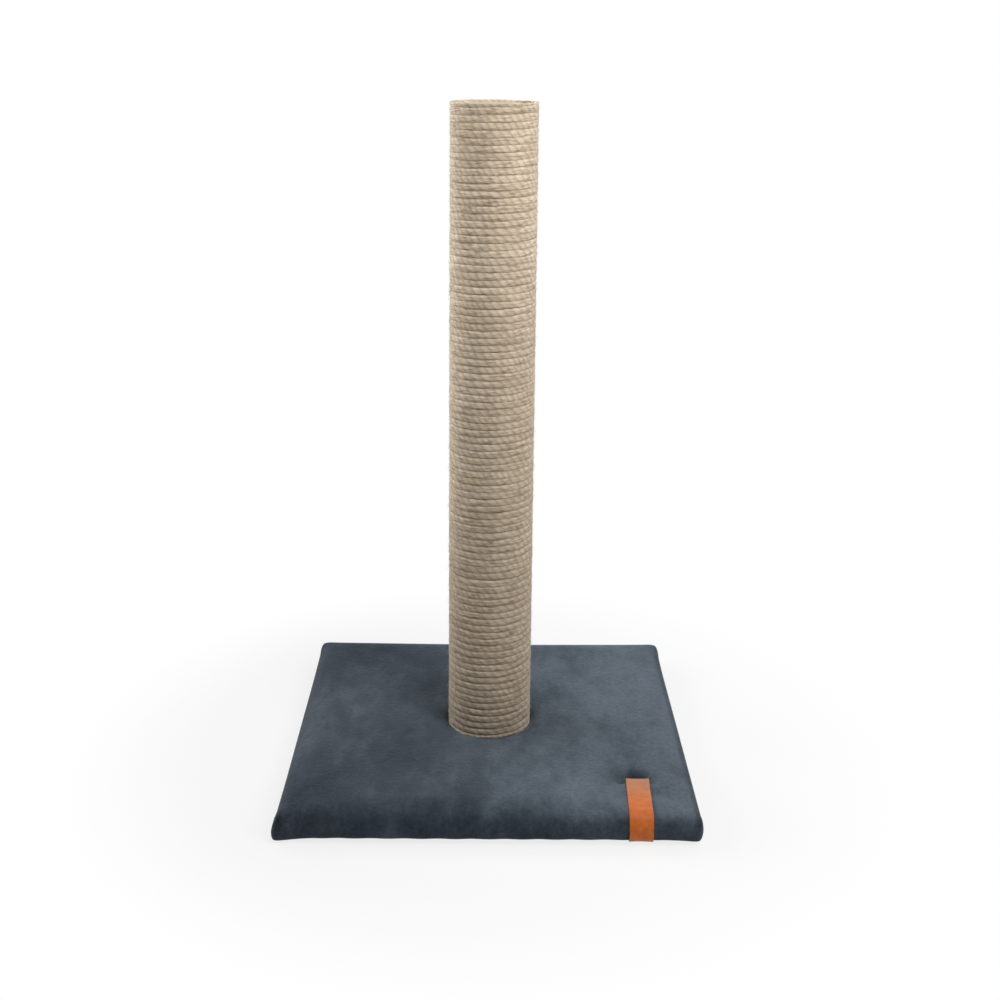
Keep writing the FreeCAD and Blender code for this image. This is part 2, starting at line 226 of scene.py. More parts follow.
# %% [markdown]
# The padded base
#
# On the real object a sheet of plush is pulled over foam on a board and stapled underneath. A block
# with rounded edges would look like a tile, so the pad starts as a slightly small slab, gets an even
# grid of faces, and is blown up by the cloth solver while its hem, the seat of the post and the slit
# behind the leather tab stay held. The fabric then swells and dips where the real one does.

# %% Sizes of the base
cover_low, cover_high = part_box("base_cover")
tab_low, tab_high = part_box("leather_tab")
base_half = cover_high.x
slab_middle = (cover_low.z + cover_high.z) / 2
post_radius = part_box("jute_rope")[1].x
seat_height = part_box("post_tube")[0].z
tab_middle = (tab_low.x + tab_high.x) / 2
tab_width = tab_high.x - tab_low.x
slit_y = -0.1270
print("base", round(base_half * 2, 3), "m square, seat of the post at", round(seat_height, 4), "m")

# %% Starting slab
side_room = 0.0004
top_room = 0.0012
corner_steps = 8
edge_steps = 6
same_level = 1e-5


def round_edges(bm, edges, radius, segments):
    bmesh.ops.bevel(bm, geom=edges, offset=radius, offset_type="OFFSET", affect="EDGES",
                    segments=segments, profile=0.5, material=-1, clamp_overlap=True)


def rounded_slab(half, low, high, corner, top_round, bottom_round):
    bm = bmesh.new()
    bmesh.ops.create_cube(bm, size=1.0)
    bmesh.ops.scale(bm, vec=(half * 2, half * 2, high - low), verts=bm.verts)
    bmesh.ops.translate(bm, vec=(0.0, 0.0, (low + high) / 2), verts=bm.verts)
    upright = [e for e in bm.edges if abs(e.verts[0].co.z - e.verts[1].co.z) > (high - low) / 2]
    round_edges(bm, upright, corner, corner_steps)
    for level, radius in ((high, top_round), (low, bottom_round)):
        ring = [e for e in bm.edges if all(abs(v.co.z - level) < same_level for v in e.verts)]
        round_edges(bm, ring, radius, edge_steps)
    return bm


slab_bm = rounded_slab(base_half - side_room, cover_low.z, cover_high.z - top_room,
                       corner=0.0088, top_round=0.0085, bottom_round=0.0060)
print("slab faces", len(slab_bm.faces))

# %% Even grid of faces
grid_step = 0.005


def link_piece(bm, name):
    mesh = bpy.data.meshes.new(name)
    bm.to_mesh(mesh)
    bm.free()
    mesh.shade_smooth()
    piece = bpy.data.objects.new(name, mesh)
    scene.collection.objects.link(piece)
    return piece


def settle_modifiers(piece):
    depsgraph = bpy.context.evaluated_depsgraph_get()
    shaped = bpy.data.meshes.new_from_object(piece.evaluated_get(depsgraph))
    piece.modifiers.clear()
    piece.data = shaped


cover = link_piece(slab_bm, "padded_base_cover")
even_grid = cover.modifiers.new("even grid", "REMESH")
even_grid.mode = "VOXEL"
even_grid.voxel_size = grid_step
settle_modifiers(cover)
print("grid points", len(cover.data.vertices))

# %% Press in the seat of the post
seat_reach = post_radius + 0.001
seat_sink = 0.0012
well_wall = post_radius + 0.0005
well_rim = post_radius + 0.0024
hem_hold = 0.003


def set_radius(spot, radius):
    share = radius / math.hypot(spot.x, spot.y)
    spot.x *= share
    spot.y *= share


seat_bm = bmesh.new()
seat_bm.from_mesh(cover.data)
top_points = [v for v in seat_bm.verts if v.co.z > slab_middle]
seat = {v for v in top_points if math.hypot(v.co.x, v.co.y) < seat_reach}
border = [f for f in seat_bm.faces if 0 < sum(v in seat for v in f.verts) < len(f.verts)]
for vert in {v for f in border for v in f.verts}:
    set_radius(vert.co, well_wall if vert in seat else well_rim)
held = [v.index for v in seat_bm.verts if v in seat or v.co.z < cover_low.z + hem_hold]
for vert in seat:
    vert.co.z = seat_height - seat_sink
print("points under the post", len(seat))

# %% Press in the dent at the slit
slit_depth = 0.0075
slit_reach = 0.030
slit_front = 0.0035
slit_flat = tab_width * 0.35
side_steepness = 1.8
front_flare = 1.6
pit_floor = 0.30
firm_dip = 0.85


def soft_step(value):
    share = min(max(value, 0.0), 1.0)
    return share * share * (3.0 - 2.0 * share)


def slit_dip(spot):
    beside = max(abs(spot.x - tab_middle) - slit_flat, 0.0)
    behind = spot.y - slit_y
    if behind < 0.0:
        behind *= slit_reach / (slit_front + beside * front_flare)
    from_slit = math.hypot(beside * side_steepness, behind)
    return 1.0 - soft_step((from_slit / slit_reach - pit_floor) / (1.0 - pit_floor))


for vert in top_points:
    dip = slit_dip(vert.co)
    vert.co.z -= slit_depth * dip
    if dip > firm_dip:
        held.append(vert.index)
seat_bm.to_mesh(cover.data)
seat_bm.free()
print("held points", len(held), "of", len(cover.data.vertices))

# %% Swell the pad with the cloth solver
swell_pressure = 0.6
swell_cap = 0.005
swell_steps = 20


def swell_pad(piece, held_points):
    start = [v.co.copy() for v in piece.data.vertices]
    piece.vertex_groups.new(name="held").add(held_points, 1.0, "REPLACE")
    solver = piece.modifiers.new("swell", "CLOTH")
    solver.settings.vertex_group_mass = "held"
    solver.settings.pin_stiffness = 10.0
    solver.settings.quality = 5
    solver.settings.use_pressure = True
    solver.settings.uniform_pressure_force = swell_pressure
    solver.settings.effector_weights.gravity = 0.0
    solver.point_cache.frame_start = 1
    solver.point_cache.frame_end = swell_steps
    for step in range(1, swell_steps + 1):
        scene.frame_set(step)
    settle_modifiers(piece)
    piece.vertex_groups.clear()
    scene.frame_set(1)
    largest = 0.0
    for vert, before in zip(piece.data.vertices, start):
        move = vert.co - before
        largest = max(largest, move.length)
        if move.length > swell_cap:
            vert.co = before + move * (swell_cap / move.length)
    return largest


swelling = swell_pad(cover, held)
print("largest swelling before the cap", round(swelling * 1000, 2), "mm")

# %% [markdown]
# Corners and underside
#
# Where plush goes round a corner, the spare cloth is folded under. The corners of the swollen pad are
# drawn out to a squarer shape, as in the photograph, and each gets a soft pleat and a thicker lump
# below. The staples pull small puckers into the hem. Underneath, the hem ends in a square window that
# the backing cloth covers. The window is cut with bisect planes, and the hole for the bolt is opened
# under the post.

# %% Square the corners and fold them
corner_round = 0.016
corner_core = 0.004
corner_square = 3.4
pleat_depth = 0.0011
pleat_spread = math.radians(9.0)
pleat_top = 0.020
pleat_fade = 0.009


def sides(spot):
    return math.copysign(1.0, spot.x), math.copysign(1.0, spot.y)


def fold_corner(spot):
    inner = base_half - corner_round
    out = Vector((abs(spot.x) - inner, abs(spot.y) - inner))
    if min(out) <= 0.0 or out.length <= corner_core:
        return
    way = out.normalized()
    square = (way.x ** corner_square + way.y ** corner_square) ** (-1.0 / corner_square)
    turn = math.atan2(way.y, way.x) - math.radians(45.0)
    fold = math.exp(-(turn / pleat_spread) ** 2)
    height_fade = 1.0 - soft_step((spot.z - pleat_top) / pleat_fade)
    move = out * (square - 1.0) - way * pleat_depth * fold * height_fade
    side_x, side_y = sides(spot)
    spot.x += side_x * move.x
    spot.y += side_y * move.y


for vert in cover.data.vertices:
    fold_corner(vert.co)
print("pleats", round(pleat_depth * 1000, 1), "mm deep")

# %% Lumps under the corners and puckers along the hem
lump_reach = 0.042
lump_height = 0.010
lump_depth = {(-1, -1): 0.0022, (1, -1): 0.0012, (-1, 1): 0.0015, (1, 1): 0.0010}
lump_bulge = {(-1, -1): 0.0042, (1, -1): 0.0010, (-1, 1): 0.0016, (1, 1): 0.0022}
bulge_start = 0.004
bulge_height = 0.014
bulge_back = 0.5
pucker_step = 0.0312
pucker_depth = 0.0005
pucker_top = cover_low.z + 0.012


def corner_distance(spot):
    return math.hypot(base_half - abs(spot.x), base_half - abs(spot.y))


def low_share(spot):
    return 1.0 - soft_step((spot.z - cover_low.z) / lump_height)


def lump_corner(spot):
    side_x, side_y = sides(spot)
    corner = (int(side_x), int(side_y))
    lump = 1.0 - soft_step(corner_distance(spot) / lump_reach)
    spot.z -= lump_depth[corner] * lump * low_share(spot)
    bulge_fade = 1.0 - soft_step((spot.z - cover_low.z - bulge_start) / bulge_height)
    bulge = lump_bulge[corner] * lump * lump * bulge_fade
    spot.x += side_x * bulge
    spot.y += side_y * bulge * bulge_back


def pucker_hem(spot):
    if spot.z >= pucker_top or corner_distance(spot) <= lump_reach:
        return
    across = 1 if abs(spot.y) > abs(spot.x) else 0
    wave = math.cos(2.0 * math.pi * spot[1 - across] / pucker_step)
    spot[across] += sides(spot)[across] * pucker_depth * wave * low_share(spot)


for vert in cover.data.vertices:
    lump_corner(vert.co)
    pucker_hem(vert.co)
print("a pucker every", round(pucker_step * 1000, 1), "mm of hem")

# %% Open the hem window
window_half = 0.150
hem_level = cover_low.z + 0.002
cut_reach = 1e-6
cover_bm = bmesh.new()
cover_bm.from_mesh(cover.data)
for axis in (Vector((1, 0, 0)), Vector((0, 1, 0))):
    for side in (-window_half, window_half):
        low_faces = [f for f in cover_bm.faces if f.calc_center_median().z < hem_level]
        parts = set(low_faces)
        for face in low_faces:
            parts.update(face.edges)
            parts.update(face.verts)
        bmesh.ops.bisect_plane(cover_bm, geom=list(parts), dist=cut_reach, plane_co=axis * side,
                               plane_no=axis)


def in_window(face):
    middle = face.calc_center_median()
    return middle.z < hem_level and max(abs(middle.x), abs(middle.y)) < window_half


window = [f for f in cover_bm.faces if in_window(f)]
print("faces in the window", len(window))
bmesh.ops.delete(cover_bm, geom=window, context="FACES")

# %% Open the bolt hole and give the plush its thickness
bolt_hole = 0.009
under_seat = 0.004
plush_thick = 0.002
rim_slack = 1.05
rim_search = 2.0


def round_hole(bm, radius, low, high):
    def within(vert, reach):
        return math.hypot(vert.co.x, vert.co.y) < reach and low < vert.co.z < high
    gone = [f for f in bm.faces if all(within(v, radius * rim_slack) for v in f.verts)]
    bmesh.ops.delete(bm, geom=gone, context="FACES")
    rim = [v for v in bm.verts if v.is_boundary and within(v, radius * rim_search)]
    for vert in rim:
        set_radius(vert.co, radius)
    return len(rim)


hole_points = round_hole(cover_bm, bolt_hole, seat_height - under_seat, cover_high.z)
cover_bm.to_mesh(cover.data)
cover_bm.free()
cover.data.shade_smooth()
plush_wall = cover.modifiers.new("plush thickness", "SOLIDIFY")
plush_wall.thickness = plush_thick
plush_wall.offset = -1.0
plush_round = cover.modifiers.new("soft surface", "SUBSURF")
plush_round.levels = 1
plush_round.render_levels = 1
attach(cover, "root")
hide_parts("base_cover", "base_foam")
print("bolt hole points", hole_points)

# %% [markdown]
# Plush
#
# Short plush shows little of its single fibres at this distance. What gives it away is its nap:
# where the pile leans away from the light it looks darker, in broad patches with soft borders. Noise
# of four sizes makes the patches, the mottling, the clumps and the pile, and a constant sheen lifts
# the edges. On top, the base is painted lighter towards the right: painted light from that side.


# %% Nap of the plush
def noise_at(tree, point, scale=1.0, detail=3.0, rough=0.55, distortion=0.0):
    return place_node(tree, "TexNoise", {
        "Vector": point, "Scale": scale, "Detail": detail, "Roughness": rough,
        "Distortion": distortion}).outputs["Fac"]


def stretched(tree, point, scale):
    return place_node(tree, "Mapping", {"Vector": point, "Scale": scale}).outputs["Vector"]


def ramp(tree, share, stops):
    node = place_node(tree, "ValToRGB", {"Fac": share})
    bar = node.color_ramp.elements
    while len(bar) < len(stops):
        bar.new(0.5)
    for stop, (place, colour) in zip(bar, stops):
        stop.position = place
        stop.color = (*colour, 1.0)
    return node.outputs["Color"]


patch_size = (15.0, 8.0, 12.0)
mottle_size = (62.0, 34.0, 55.0)
patch_weight = 0.62
mottle_weight = 0.54
painted_light_weight = 0.31
nap_level = -0.115
painted_light_left, painted_light_right = -0.05, 0.20
painted_light_low, painted_light_high = 0.022, 0.030
plush, plush_tree, plush_shader = new_finish("blue grey plush")
plush_point = place_node(plush_tree, "TexCoord").outputs["Object"]
plush_axes = place_node(plush_tree, "SeparateXYZ", {0: plush_point}).outputs
nap_patch = noise_at(plush_tree, stretched(plush_tree, plush_point, patch_size),
                     detail=2.0, rough=0.5, distortion=0.5)
nap_mottle = noise_at(plush_tree, stretched(plush_tree, plush_point, mottle_size),
                      detail=3.0, rough=0.6, distortion=0.3)
# Painted light: on top of the base the colour grows lighter towards the right, as if lit from there.
painted_light_top = fade(plush_tree, plush_axes["Z"], painted_light_low, painted_light_high)
painted_light_side = fade(plush_tree, plush_axes["X"], painted_light_left, painted_light_right, high=painted_light_weight)
painted_light_mix = work_out(plush_tree, "MULTIPLY_ADD", painted_light_side, painted_light_top, nap_level)
patch_mix = work_out(plush_tree, "MULTIPLY_ADD", nap_patch, patch_weight, painted_light_mix)
nap_mix = work_out(plush_tree, "MULTIPLY_ADD", nap_mottle, mottle_weight, patch_mix)
plush_colour = ramp(plush_tree, nap_mix, (
    (0.32, (0.036, 0.049, 0.064)), (0.50, (0.061, 0.080, 0.101)), (0.82, (0.145, 0.182, 0.221))))
print("nap nodes", len(plush_tree.nodes))


# %% Pile of the plush
def blend(tree, share, first, second, way="MIX"):
    node = place_node(tree, "Mix", {0: share, 6: first, 7: second}, data_type="RGBA", blend_type=way)
    return node.outputs[2]


def multiply(tree, first, second):
    return blend(tree, 1.0, first, second, "MULTIPLY")


clump = noise_at(plush_tree, plush_point, scale=230.0, detail=3.0, rough=0.65, distortion=0.4)
pile = noise_at(plush_tree, plush_point, scale=900.0, detail=2.0, rough=0.6)
pile_shade = ramp(plush_tree, pile, ((0.3, (0.76, 0.76, 0.76)), (0.7, (1.0, 1.0, 1.0))))
clump_shade = ramp(plush_tree, clump, ((0.32, (0.70, 0.70, 0.70)), (0.68, (1.0, 1.0, 1.0))))
plush_colour = multiply(plush_tree, plush_colour, multiply(plush_tree, pile_shade, clump_shade))
print("nodes with the pile", len(plush_tree.nodes))

# %% [markdown]
# Painted shade and dark edges
#
# The plush is painted darker where shade falls: painted shade in the dent behind the tab, and in a
# narrow ring round the post's foot. It is also made darker along the upper edge at the sides and the
# back.

# %% Painted shade and dark edges
dent_middle = (tab_middle + 0.003, slit_y + 0.010, 0.0)
dent_radius = 0.021
dent_size = (1.0 / dent_radius, 1.0 / dent_radius, 0.0)
dent_raggedness = 0.5
flat_axes = (1.0, 1.0, 0.0)
foot_start = post_radius + 0.001
foot_end = post_radius + 0.012
foot_painted_dark = 0.45
edge_start = base_half - 0.0095
edge_end = base_half - 0.0035
edge_low, edge_high = 0.012, 0.020
edge_dark = (0.42, 0.42, 0.42, 1.0)
# Painted shade: the plush is darkened in the dent behind the tab.
dent_shift = place_node(plush_tree, "VectorMath", {0: plush_point, 1: dent_middle}, operation="SUBTRACT")
dent_reach = length_of(plush_tree, stretched(plush_tree, dent_shift.outputs[0], dent_size))
dent_rough = work_out(plush_tree, "MULTIPLY_ADD", nap_mottle, dent_raggedness, dent_reach)
dent_painted_shade = ramp(plush_tree, dent_rough, ((0.50, (0.30, 0.36, 0.46)), (1.0, (1.0, 1.0, 1.0))))
plush_colour = multiply(plush_tree, plush_colour, dent_painted_shade)
# Painted shade: a dark ring on the plush round the post's foot.
foot_reach = length_of(plush_tree, stretched(plush_tree, plush_point, flat_axes))
foot_painted_shade = fade(plush_tree, foot_reach, foot_start, foot_end, low=foot_painted_dark, way="SMOOTHSTEP")
plush_colour = multiply(plush_tree, plush_colour, foot_painted_shade)
# The plush is made darker along the upper edge at the sides and the back.
side_run = work_out(plush_tree, "ABSOLUTE", plush_axes["X"])
edge_run = work_out(plush_tree, "MAXIMUM", side_run, plush_axes["Y"])
edge_share = work_out(plush_tree, "MULTIPLY", fade(plush_tree, edge_run, edge_start, edge_end),
                      fade(plush_tree, plush_axes["Z"], edge_low, edge_high))
edge_colour = multiply(plush_tree, plush_colour, edge_dark)
plush_colour = blend(plush_tree, edge_share, plush_colour, edge_colour)
print("nodes with the pressed pile", len(plush_tree.nodes))


# %% Plush finish
def raise_bump(tree, shader, height, distance, strength, under=None):
    sockets = {"Height": height, "Distance": distance, "Strength": strength}
    if under is not None:
        sockets["Normal"] = under
    bump = place_node(tree, "Bump", sockets)
    tree.links.new(bump.outputs["Normal"], shader.inputs["Normal"])
    return bump.outputs["Normal"]


fill_sockets(plush_tree, plush_shader, {
    "Base Color": plush_colour, "Roughness": 0.95, "Specular IOR Level": 0.15,
    "Sheen Weight": 0.35, "Sheen Roughness": 0.45, "Sheen Tint": (0.75, 0.86, 1.0, 1.0)})
plush_bump = raise_bump(plush_tree, plush_shader, nap_mottle, distance=0.0012, strength=0.35)
plush_bump = raise_bump(plush_tree, plush_shader, clump, distance=0.0012, strength=0.5, under=plush_bump)
raise_bump(plush_tree, plush_shader, pile, distance=0.0006, strength=0.5, under=plush_bump)
cover.data.materials.clear()
cover.data.materials.append(plush)
print("plush nodes", len(plush_tree.nodes))

# %% [markdown]
# The rope
#
# One length of jute rope goes round the tube some ninety times. It could be a curve with a round
# bevel, but then the twist of its strands would be missing, and the turns would touch only in a
# line, while the real rope is soft and pressed together. Here a long flat grid is rolled into a
# squarish tube, with most of its rows on the side that shows. Its two ends are cut to a wedge, so the
# winding stands level on the plush and ends level at the top. The grid's UV map runs along the rope.

# %% Winding of the rope
rope_low, rope_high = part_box("jute_rope")
rope_thick = 0.0065
turn_gap = 0.0005
wedge_turns = 0.86
back_angle = math.radians(90.0)
line_radius = rope_high.x - rope_thick / 2
end_rise = rope_thick * (rope_thick + turn_gap) / (2.0 * math.pi * line_radius)
wind_start = rope_low.z + rope_thick / 2 + end_rise
wind_finish = rope_high.z - rope_thick / 2 - end_rise
turns = int((wind_finish - wind_start) / (rope_thick + turn_gap))
pitch = (wind_finish - wind_start) / turns
wound_turns = turns + 2.0 * wedge_turns
rope_length = wound_turns * math.hypot(2.0 * math.pi * line_radius, pitch)


def rope_frame(share):
    turned = wound_turns * share - wedge_turns
    angle = back_angle + 2.0 * math.pi * turned
    outward = Vector((math.cos(angle), math.sin(angle), 0.0))
    along = Vector((-math.sin(angle) * line_radius, math.cos(angle) * line_radius,
                    pitch / (2.0 * math.pi))).normalized()
    middle = outward * line_radius + Vector((0.0, 0.0, wind_start + pitch * turned))
    return middle, outward, outward.cross(along)


print("rope", turns, "turns,", round(rope_length, 2), "m, pitch", round(pitch * 1000, 3), "mm")

# %% [markdown]
# Section and strands
#
# The section is a rounded square, a little taller than the pitch, so neighbouring turns press into
# each other. The twisted strands cross the rope at a slant, and a strand count, which grows by one
# from each strand to the next, says where they are. The mesh swells and sinks with it, and it is kept
# as an attribute, so that the finish paints shade into the lines between the strands at the same places.

# %% Section of the rope
rope_deep = 0.00314
rope_tall = 0.00390
squareness = 4.6
strands_per_turn = 31.5
strand_slant = 1.05
strand_drift = 2.0
strand_step = rope_length / wound_turns / strands_per_turn


def waver(distance, pace, seed):
    return noise.noise(Vector((distance * pace, seed, 0.5)))


def rope_reach(turn, swell=1.0):
    deep = abs(math.cos(turn)) / rope_deep
    tall = abs(math.sin(turn)) / (rope_tall * swell)
    return (deep ** squareness + tall ** squareness) ** (-1.0 / squareness)


def count_strands(run, turn):
    slant = strand_slant * turn / math.pi
    return run / strand_step + slant + strand_drift * waver(run, pace=16.0, seed=61.5)


print("a strand every", round(strand_step * 1000, 2), "mm")

# %% Roll and wind the strip
steps_per_turn = 120
row_turns = (-90, -66, -46, -18, 18, 46, 66, 90, 180)
row_count = len(row_turns)
row_seed = 20.0
strand_size = 0.985
strand_swell = 0.045
rise_waver = 0.00060
out_waver = 0.00030
lump_waver = 0.05
height_waver = 0.12
same_place = 1e-6
rope_bm = bmesh.new()
rope_bm.loops.layers.uv.new("along the rope")
strand_layer = rope_bm.verts.layers.float.new("strand count")
bmesh.ops.create_grid(rope_bm, x_segments=round(wound_turns * steps_per_turn),
                      y_segments=row_count, size=0.5, calc_uvs=True)
for vert in rope_bm.verts:
    share = vert.co.x + 0.5
    row = round((vert.co.y + 0.5) * row_count) % row_count
    run = share * rope_length
    turn = math.radians(row_turns[row])
    middle, outward, upward = rope_frame(share)
    middle += upward * rise_waver * waver(run, pace=17.0, seed=1.5)
    middle += outward * out_waver * waver(run, pace=23.0, seed=7.5)
    count = count_strands(run, turn)
    vert[strand_layer] = count
    strand = strand_size + strand_swell * math.sin(2.0 * math.pi * count)
    strand *= 1.0 + lump_waver * waver(run, pace=110.0, seed=row_seed + row)
    swell = 1.0 + height_waver * waver(run, pace=85.0, seed=41.5)
    reach = strand * rope_reach(turn, swell)
    vert.co = middle + (outward * math.cos(turn) + upward * math.sin(turn)) * reach
    vert.co.z = min(max(vert.co.z, rope_low.z), rope_high.z)
bmesh.ops.remove_doubles(rope_bm, verts=rope_bm.verts, dist=same_place)
bmesh.ops.holes_fill(rope_bm, edges=[e for e in rope_bm.edges if e.is_boundary])
bmesh.ops.recalc_face_normals(rope_bm, faces=rope_bm.faces)
rope = link_piece(rope_bm, "wound_jute_rope")
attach(rope, "root")
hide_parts("jute_rope")
print("rope triangles", sum(len(p.vertices) - 2 for p in rope.data.polygons))

# %% [markdown]
# Jute
#
# Raw jute is a bundle of pale and brown fibres. The UV map runs along the rope, so noise that is long
# one way and fine the other draws single fibres, broader noise draws dark flecks, and slower noise
# changes the tone from one stretch of rope to the next. A wave on the strand count paints shade into
# the lines between the strands. Flecks, strands and fibres also lift the surface a little.

# %% Fibres, flecks and tone
fibre_size = (rope_length * 80.0, 36.0, 1.0)
fleck_size = (rope_length * 70.0, 8.0, 1.0)
tone_size = (rope_length * 22.0, 1.3, 1.0)
jute, jute_tree, jute_shader = new_finish("jute fibre")
jute_uv = place_node(jute_tree, "UVMap", uv_map="along the rope").outputs["UV"]
fibre = noise_at(jute_tree, stretched(jute_tree, jute_uv, fibre_size), detail=4.0, rough=0.65)
fleck = noise_at(jute_tree, stretched(jute_tree, jute_uv, fleck_size), detail=3.0, rough=0.6)
turn_tone = noise_at(jute_tree, stretched(jute_tree, jute_uv, tone_size), detail=3.0)
jute_colour = ramp(jute_tree, fibre, (
    (0.28, (0.440, 0.340, 0.238)), (0.48, (0.725, 0.600, 0.455)), (0.72, (0.900, 0.800, 0.660))))
fleck_shade = ramp(jute_tree, fleck, (
    (0.34, (0.57, 0.52, 0.47)), (0.47, (0.92, 0.91, 0.90)), (0.70, (1.0, 1.0, 1.0))))
tone_shade = ramp(jute_tree, turn_tone, ((0.3, (0.78, 0.75, 0.71)), (0.7, (1.0, 1.0, 1.0))))
jute_colour = multiply(jute_tree, jute_colour, multiply(jute_tree, fleck_shade, tone_shade))
print("fibre nodes", len(jute_tree.nodes))

# %% Painted shade between the strands and jute finish
line_bottom = -1.0
line_edge = 0.2
line_painted_dark = 0.80
strand_count = place_node(jute_tree, "Attribute", attribute_name="strand count").outputs["Fac"]
strand_angle = work_out(jute_tree, "MULTIPLY", strand_count, 2.0 * math.pi)
strand_wave = work_out(jute_tree, "SINE", strand_angle)
# Painted shade: the colour is darkened in the grooves between the strands.
strand_painted_shade = fade(jute_tree, strand_wave, line_bottom, line_edge, low=line_painted_dark, way="SMOOTHSTEP")
fill_sockets(jute_tree, jute_shader, {
    "Base Color": multiply(jute_tree, jute_colour, strand_painted_shade), "Roughness": 0.88,
    "Specular IOR Level": 0.2, "Sheen Weight": 0.35, "Sheen Roughness": 0.4,
    "Sheen Tint": (1.0, 0.94, 0.86, 1.0)})
jute_bump = raise_bump(jute_tree, jute_shader, fleck, distance=0.0010, strength=0.7)
jute_bump = raise_bump(jute_tree, jute_shader, strand_wave, distance=0.0004, strength=0.35, under=jute_bump)
raise_bump(jute_tree, jute_shader, fibre, distance=0.0004, strength=0.8, under=jute_bump)
rope.data.materials.append(jute)
print("jute nodes", len(jute_tree.nodes))

# %% [markdown]
# Loose fibres
#
# Jute is hairy. Some ten thousand stray fibres lie over the turns and blur the grooves between them.
# Each is a thin three-sided spike with one end in the rope and the other a little off it, placed by
# a seeded draw, so every run of the script gives the same coat. They are made in batches, because
# adding to one large mesh grows slow.

# %% Stray fibres on the winding
fibre_count = 10500
fibre_batch = 300
fibre_sides = 3
fibre_ends = (0.012, 0.988)
fibre_spread = 80.0
fibre_root = 0.97
fibre_slant = 0.30
fibre_lift = (0.02, 0.15)
fibre_reach = (0.004, 0.011)
fibre_thick = (0.00008, 0.00018)
fibre_taper = 0.4
draw = random.Random(23)


def add_fibre(bm):
    middle, outward, upward = rope_frame(draw.uniform(*fibre_ends))
    turn = math.radians(draw.uniform(-fibre_spread, fibre_spread))
    surface = (outward * math.cos(turn) + upward * math.sin(turn)) * rope_reach(turn)
    along = upward.cross(outward) * draw.choice((-1.0, 1.0))
    lean = along + upward * draw.gauss(0.0, fibre_slant) + outward * draw.uniform(*fibre_lift)
    reach = draw.uniform(*fibre_reach)
    thick = draw.uniform(*fibre_thick)
    stand = Matrix.Translation(middle + surface * fibre_root + lean.normalized() * reach / 2)
    stand = stand @ lean.to_track_quat("Z", "Y").to_matrix().to_4x4()
    bmesh.ops.create_cone(bm, cap_ends=True, segments=fibre_sides, radius1=thick,
                          radius2=thick * fibre_taper, depth=reach, matrix=stand)


fibre_bm = bmesh.new()
for batch in range(fibre_count // fibre_batch):
    batch_bm = bmesh.new()
    for number in range(fibre_batch):
        add_fibre(batch_bm)
    batch_mesh = bpy.data.meshes.new("fibre batch")
    batch_bm.to_mesh(batch_mesh)
    batch_bm.free()
    fibre_bm.from_mesh(batch_mesh)
    bpy.data.meshes.remove(batch_mesh)
fibres = link_piece(fibre_bm, "loose_jute_fibres")
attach(fibres, "root")
print("stray fibres", fibre_count, "faces", len(fibres.data.polygons))

# %% Stray fibre finish
stray, stray_tree, stray_shader = new_finish("stray jute fibre")
stray_point = place_node(stray_tree, "TexCoord").outputs["Object"]
stray_tone = noise_at(stray_tree, stray_point, scale=140.0, detail=3.0)
stray_colour = ramp(stray_tree, stray_tone, ((0.3, (0.36, 0.29, 0.20)), (0.7, (0.66, 0.58, 0.46))))
fill_sockets(stray_tree, stray_shader, {"Base Color": stray_colour, "Roughness": 0.7})
fibres.data.materials.append(stray)
print("stray fibre nodes", len(stray_tree.nodes))

# %% [markdown]
# The leather tab
#
# A strip of tan leather comes out of a slit in the plush, runs over the front edge and ends under
# the base. Bending a flat strip by hand would leave gaps, so each row of the strip is dropped on the
# pad by casting a ray at it, first down on the top, then round the edge, then up from below. The
# upper end leaves the pad, runs on level and then dives into the dent at the slit.

# %% Rays for the rows of the strip
edge_axis = Vector((0.0, -base_half + 0.014, 0.0165))
tucked_y = slit_y + 0.0040
under_end = -0.176
above_pad = 0.08
below_pad = -0.04
round_pad = 0.06
top_rows = 20
row_crowding = 1.6
turn_rows = 24
under_rows = 3
tab_rays = []
for step in range(top_rows):
    run_y = tucked_y + (edge_axis.y - tucked_y) * (step / (top_rows - 1)) ** row_crowding
    tab_rays.append((Vector((0.0, run_y, above_pad)), Vector((0.0, 0.0, -1.0))))
for step in range(1, turn_rows + 1):
    tilt = math.pi * step / turn_rows
    aim = Vector((0.0, -math.sin(tilt), math.cos(tilt)))
    tab_rays.append((edge_axis + aim * round_pad, -aim))
for step in range(1, under_rows + 1):
    run_y = edge_axis.y + (under_end - edge_axis.y) * step / under_rows
    tab_rays.append((Vector((0.0, run_y, below_pad)), Vector((0.0, 0.0, 1.0))))
print("rows of the strip", len(tab_rays))

# %% Lay the strip on the pad
leather_thick = 0.0016
leather_gap = 0.0001
strip_columns = 6
tab_lean = 0.0022
pad_surface = BVHTree.FromObject(cover, bpy.context.evaluated_depsgraph_get())
tab_bm = bmesh.new()
tab_bm.loops.layers.uv.new("along the strip")
bmesh.ops.create_grid(tab_bm, x_segments=strip_columns, y_segments=len(tab_rays) - 1, size=0.5,
                      calc_uvs=True)
for vert in tab_bm.verts:
    source, aim = tab_rays[round((vert.co.y + 0.5) * (len(tab_rays) - 1))]
    lean = tab_lean * max(source.y - edge_axis.y, 0.0) / (slit_y - edge_axis.y)
    side = tab_middle + vert.co.x * tab_width + lean
    hit = pad_surface.ray_cast(source + Vector((side, 0.0, 0.0)), aim)[0]
    vert.co = hit - aim * (leather_gap + leather_thick / 2)
print("strip points", len(tab_bm.verts))

